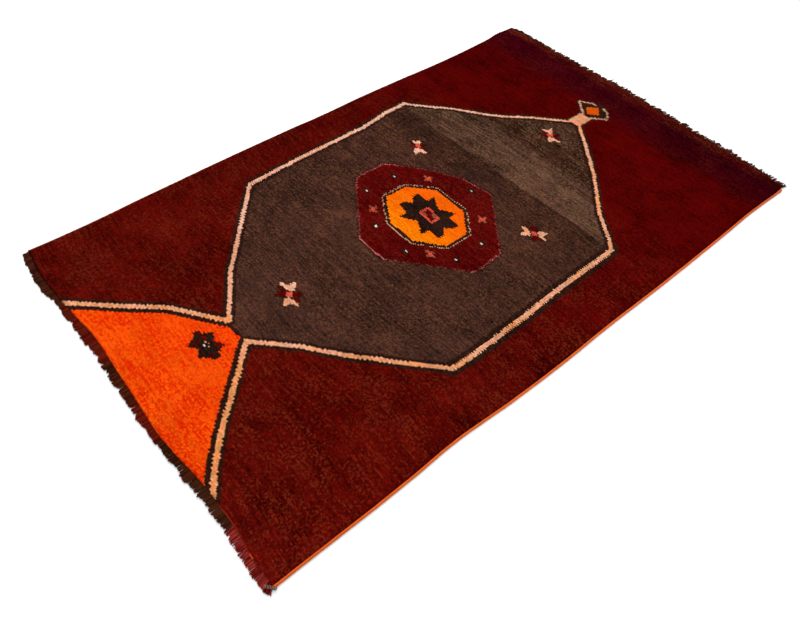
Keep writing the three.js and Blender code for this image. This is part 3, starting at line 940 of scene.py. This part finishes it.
def overcast(name, node, outward, tail=()):
    """Adds an overcast binding, two lobes wide, along the middle of its frame node and its tail."""
    places = node_places(node)
    order = np.argsort(places[:, 0])
    steps = np.flatnonzero(np.diff(places[order, 0]) > 0.004) + 1
    stations = [group for group in np.split(places[order], steps) if len(group) > 5]
    line = np.array([(part.min(0) + part.max(0)) / 2 for part in stations])
    line = np.vstack([line] + [line[-1] + np.array([*step, 0.0]) for step in tail])
    turns = int((line[-1, 0] - line[0, 0]) / TURN)
    rings = 2 * turns + 1
    x = np.linspace(line[0, 0], line[-1, 0], rings)
    y = np.interp(x, line[:, 0], line[:, 1])
    drift_rings = np.arange(0, rings, 60)
    y = y + np.interp(np.arange(rings), drift_rings, binder.normal(0, 0.0002, len(drift_rings)))
    paths = np.stack([
        np.column_stack([x, y + side * outward * LOBE * 0.92, np.full(rings, LOBE * rise)])
        for side, rise in ((-1, 1.32), (1, 1.04))
    ])
    turn_size = np.repeat(binder.normal(1.0, 0.05, turns + 1), 2)[:rings]
    radii = np.stack([LOBE * INNER_LOBE_LARGER * turn_size, LOBE * turn_size])
    knob = np.exp(-((x - line[-1, 0] + KNOB_BACK) / KNOB_LENGTH) ** 2) * (len(tail) > 0)
    swell = np.where(np.arange(rings) % 2 == 0, 1.0, GROOVE) * (1 + KNOB_SWELL * knob)
    places, faces, piece_map = yarn_tubes(paths, radii * swell, BINDING_SIDES)
    ring_points = places[:2 * rings * BINDING_SIDES].reshape(2, rings, BINDING_SIDES, 3)
    angle = np.arange(BINDING_SIDES) / BINDING_SIDES * 2 * math.pi
    ring_points[..., 0] += np.cos(angle)[None, None, :] * SLANT * TURN * 0.5
    places[:, 2] = np.maximum(places[:, 2], 0.0)
    quad_corners = 4 * len(faces[0])
    # Each face takes the material of its lobe: the outer, lower lobe gets the darker painted-shade copy of
    # the orange wool.
    lobe = np.concatenate([piece_map[:quad_corners:4, 2], piece_map[quad_corners::3, 2]])
    make_piece(
        name, places, faces, [upper_binding, painted_shade_lower_binding],
        yarn_maps(piece_map, 2, 8), which=lobe, stands_for=[node],
    )


overcast("near_overcast_binding", "near_selvedge", -1, [(0.006, 0.001), (0.014, 0.006)])
overcast("far_overcast_binding", "far_selvedge", 1)

# The left fringe
# At the end where the weaver began, the warps are cut short and stand out as a dense band of
# plied ends, dark brown and in places dark red, with slits where a few have pulled together.
STRANDS = 292
LEFT_RADIUS = 0.0027
SLITS = ((-0.465, 3), (-0.348, 3), (-0.277, 2), (-0.262, 3), (-0.046, 2), (0.027, 3), (0.306, 2),
         (0.412, 1.5))
SLIT_PULL = 9
SLIT_NOTCH = 3.2
RINGS = 12
UNDER_LEFT = 0.0035
fringer = np.random.default_rng(31)
share = np.linspace(0, 1, RINGS)


def end_reach(node, outward, spots):
    """How far the fringe of the frame reaches out at each spot across the rug."""
    places = node_places(node)
    reach = np.empty(len(spots))
    for index, spot in enumerate(spots):
        near_spot = places[np.abs(places[:, 1] - spot) < 0.006]
        reach[index] = (near_spot[:, 0] * outward).max() if len(near_spot) else np.nan
    good = ~np.isnan(reach)
    return np.interp(spots, spots[good], reach[good]) * outward


def two_plies(ring, angle):
    """Two plies twisted round each other."""
    return 0.84 + 0.2 * np.abs(np.cos(angle + ring * 0.62))


FINE_ENDS_FROM = middle[1] - 0.468
across_spots = np.linspace(left_end[0, 1] + 0.003, left_end[-1, 1] - 0.003, STRANDS)
chunky = across_spots > FINE_ENDS_FROM - 0.004
spots = across_spots[chunky]
roots = np.interp(spots, left_end[:, 1], left_end[:, 0])
reach = end_reach("left_fringe", -1, spots)
group = np.cumsum(fringer.uniform(0, 1, len(spots)) < 0.16)
group_lean = fringer.normal(0, 0.0010, group.max() + 1)[group]
group_size = fringer.normal(0.98, 0.035, group.max() + 1)[group]
aside = np.zeros(len(spots))
shorter = np.ones(len(spots))
for place, wide in SLITS:
    away = (spots - middle[1] - place) * 1000
    aside += np.sign(away) * wide * 0.0005 * np.exp(-((away / SLIT_PULL) ** 2))
    shorter -= 0.22 * np.exp(-((away / SLIT_NOTCH) ** 2))
size = (roots - reach) * group_size * shorter * fringer.normal(0.98, 0.05, len(spots))
wave = fringer.normal(0, 0.0003, (len(spots), RINGS)).cumsum(1) * share
paths = np.stack([
    roots[:, None] + UNDER_LEFT - (size[:, None] + UNDER_LEFT) * share,
    spots[:, None] + aside[:, None] * (0.3 + 0.7 * share) + group_lean[:, None] * share**1.5 + wave,
    0.0036 - 0.0012 * share**0.6 + fringer.normal(0, 0.0002, (len(spots), 1)),
], -1)
radii = LEFT_RADIUS * (1 - 0.1 * share - 0.25 * (share > 0.97)) * fringer.normal(1.0, 0.08, (len(spots), 1))
warp_lots = dye_ramp(1, [(-480, 60, 24, 14), (-400, 52, 34, 20), (-300, 52, 24, 10), (-190, 44, 22, 10),
                         (-160, 92, 16, 7), (-60, 96, 16, 8), (-25, 58, 22, 9), (110, 50, 22, 9),
                         (140, 98, 20, 9), (230, 82, 14, 7), (300, 86, 15, 7), (370, 72, 22, 9),
                         (410, 52, 28, 13), (500, 50, 26, 16), (570, 48, 24, 16), (640, 46, 25, 19)])
warp_wool = yarn_wool("dark_brown_warp_wool", warp_lots, (92, 36, 20), 0.75, 0.5, 0.05)
add_yarns("left_warp_ends", paths, radii, 8, warp_wool, ["left_fringe"], two_plies)

# The fine warp ends at the near-left corner
# Toward this corner the dark band is worn away, and thin pinkish-red strands show in its place,
# uneven like the teeth of a saw.
FINE_STRANDS = 112
CORNER_LOCK = 24
FINE_RADIUS = 0.0017
UNDER_PILE = 0.004
spots = np.linspace(left_end[0, 1] + 0.001, FINE_ENDS_FROM, FINE_STRANDS)
spots = spots + fringer.normal(0, 0.0005, FINE_STRANDS)
roots = np.interp(spots, left_end[:, 1], left_end[:, 0])
reach = end_reach("left_fringe", -1, spots)
ends_x = roots - (roots - reach) * fringer.uniform(0.8, 1.06, FINE_STRANDS)
ends_y = spots + fringer.normal(0, 0.0013, FINE_STRANDS)
lock_y = np.linspace(-0.6530, -0.6045, CORNER_LOCK)
lock_x = np.interp(lock_y, [-0.6530, -0.6500, -0.6380, -0.6100], [-1.0675, -1.0700, -1.0748, -1.0756])
ends_x[:CORNER_LOCK] = middle[0] + lock_x + fringer.normal(0, 0.0007, CORNER_LOCK)
ends_y[:CORNER_LOCK] = middle[1] + lock_y
paths = np.stack([
    roots[:, None] + UNDER_PILE + (ends_x - roots - UNDER_PILE)[:, None] * share,
    spots[:, None] + (ends_y - spots)[:, None] * share**1.3,
    0.0045 - 0.0031 * share**0.8 + fringer.normal(0, 0.0003, (FINE_STRANDS, 1)),
], -1)
radii = FINE_RADIUS * (1 - 0.3 * share) * fringer.normal(1.0, 0.13, (FINE_STRANDS, 1))
# The pink patches on these strands are in part paler wool and in part painted highlights, where the strands
# catch the light.
fine_wool = yarn_wool("red_warp_end_wool", (96, 15, 15), (172, 62, 54), 1.35, 0.6, 0.06)
add_yarns("corner_warp_ends", paths, radii, 7, fine_wool, ["left_fringe"], two_plies)

# The right fringe
# Where the weaver finished, the warps were cut and have worn to dark uneven tufts, some hooked
# over and some looped back, that mostly lean toward the near side.
LOCKS = 142
STRANDS_PER_LOCK = 4
RAGGED_RADIUS = 0.0021
RISE = 0.0038
lock_spots = np.linspace(right_end[0, 1] + 0.004, right_end[-1, 1] - 0.004, LOCKS)
spots = np.repeat(lock_spots, STRANDS_PER_LOCK) + fringer.normal(0, 0.0018, LOCKS * STRANDS_PER_LOCK)
strands = len(spots)
roots = np.interp(spots, right_end[:, 1], right_end[:, 0])
reach = end_reach("right_fringe", 1, np.clip(spots, lock_spots[0], lock_spots[-1]))
lock_lean = np.repeat(fringer.normal(-0.003, 0.0035, LOCKS), STRANDS_PER_LOCK)
lock_size = np.repeat(fringer.uniform(0.68, 1.0, LOCKS), STRANDS_PER_LOCK)
stray = np.where(fringer.uniform(0, 1, strands) < 0.05, 1.3, 1.0)
size = (reach - roots) * lock_size * fringer.uniform(0.8, 1.1, strands) * stray
hook = fringer.normal(0, 0.0035, (strands, 1)) * np.sin(share * math.pi * 0.9)
paths = np.stack([
    roots[:, None] - UNDER_PILE + (size[:, None] + UNDER_PILE) * share,
    spots[:, None] + lock_lean[:, None] * share**1.2 + hook,
    RISE - 0.0022 * share + fringer.uniform(-0.0003, 0.0012, (strands, 1)) * np.sin(share * math.pi),
], -1)
radii = RAGGED_RADIUS * (1 - 0.5 * share**2) * fringer.normal(1.0, 0.14, (strands, 1))
ragged_wool = yarn_wool("ragged_warp_wool", (50, 22, 13), (100, 44, 24), 0.6, 0.6, 0.06)
add_yarns("right_warp_ends", paths, radii, 7, ragged_wool, ["right_fringe"], two_plies)

# The twining at the near-left end
# Two orange-red yarns are twisted round each other and over the warps, to hold the end where
# the fringe has gone thin. The stitches are brightest near the corner.
TWINING_RADIUS = 0.0009
TWINING_HEIGHT = 0.0058
TWIST_LENGTH = 0.0085
y = np.linspace(middle[1] - 0.600, middle[1] - 0.400, 180)
x = np.interp(y, left_end[:, 1], left_end[:, 0]) + 0.0004
twist = 2 * math.pi * (y - y[0]) / TWIST_LENGTH
paths = np.stack([
    np.column_stack([x + TWINING_RADIUS * np.cos(twist + half), y,
                     TWINING_HEIGHT + TWINING_RADIUS * np.sin(twist + half)])
    for half in (0, math.pi)
])
twining_lots = dye_ramp(1, [(-600, 96, 18, 9), (-566, 110, 26, 10), (-562, 232, 92, 22),
                            (-552, 232, 92, 22), (-547, 130, 32, 12), (-505, 104, 22, 9),
                            (-462, 150, 36, 16), (-425, 146, 38, 18), (-400, 84, 14, 8)])
twining_wool = yarn_wool("orange_twining_wool", twining_lots, (120, 26, 10), 0.1, 0.4)
add_yarns("orange_twining", paths, TWINING_RADIUS, 7, twining_wool, strips=4)

# The whipping at the near-left corner
# A grey-beige yarn is wound tightly round the last few warps where the binding meets the
# fringe, to stop the corner from fraying.
TURNS = 8
RINGS_PER_TURN = 14
WHIPPING_RADIUS = 0.00095
HALF_WIDTH = 0.0034
HALF_HEIGHT = 0.0027
share = np.linspace(0, 1, TURNS * RINGS_PER_TURN)
start = np.array([middle[0] - 1.0680, middle[1] - 0.6275])
end = np.array([middle[0] - 1.0500, middle[1] - 0.6490])
core = start + (end - start) * share[:, None]
axis_way = (end - start) / np.linalg.norm(end - start)
side_way = np.array([-axis_way[1], axis_way[0]])
swing = 2 * math.pi * TURNS * share
flat = core + side_way * (HALF_WIDTH * np.cos(swing))[:, None]
paths = np.column_stack([flat, 0.0036 + HALF_HEIGHT * np.sin(swing)])[None]
whipping_wool = yarn_wool("grey_beige_whipping_wool", (128, 112, 98), (86, 70, 60), 0.1, 0.7)
add_yarns("corner_whipping", paths, WHIPPING_RADIUS, 7, whipping_wool, strips=4)

# The floor and the light
# A plain, nearly white studio floor, with soft even light from a white surround and from one
# large lamp overhead.
floor_mesh = bpy.data.meshes.new("studio_floor")
REACH = 12.0
floor_mesh.from_pydata([(-REACH, -REACH, 0), (REACH, -REACH, 0), (REACH, REACH, 0), (-REACH, REACH, 0)],
                       [], [(0, 1, 2, 3)])
floor = bpy.data.objects.new("studio_floor", floor_mesh)
scene.collection.objects.link(floor)
floor.location.z = -0.0002
floor_material = bpy.data.materials.new("studio_floor_paint")
floor_material.use_nodes = True
tree = floor_material.node_tree
tone = add_node(tree, "TexNoise", {"Scale": 3.0}).outputs["Fac"]
colour = mix_colours(tree, tone, (0.96, 0.96, 0.96, 1), (0.98, 0.98, 0.98, 1))
surface = tree.nodes["Principled BSDF"].inputs
tree.links.new(colour, surface["Base Color"])
surface["Roughness"].default_value = 0.9
floor_mesh.materials.append(floor_material)
scene.world = bpy.data.worlds.new("studio")
scene.world.use_nodes = True
sky = scene.world.node_tree.nodes["Background"].inputs
sky["Color"].default_value = (1, 1, 1, 1)
sky["Strength"].default_value = 0.8
lamp = bpy.data.objects.new("overhead_lamp", bpy.data.lights.new("overhead_lamp", "AREA"))
lamp.data.shape = "RECTANGLE"
lamp.data.size = 3.0
lamp.data.size_y = 2.2
lamp.data.energy = 80
lamp.location = (0.6, 1.9, 2.6)
lamp.rotation_euler = (Vector((0, 0, 0)) - lamp.location).to_track_quat("-Z", "Y").to_euler()
scene.collection.objects.link(lamp)
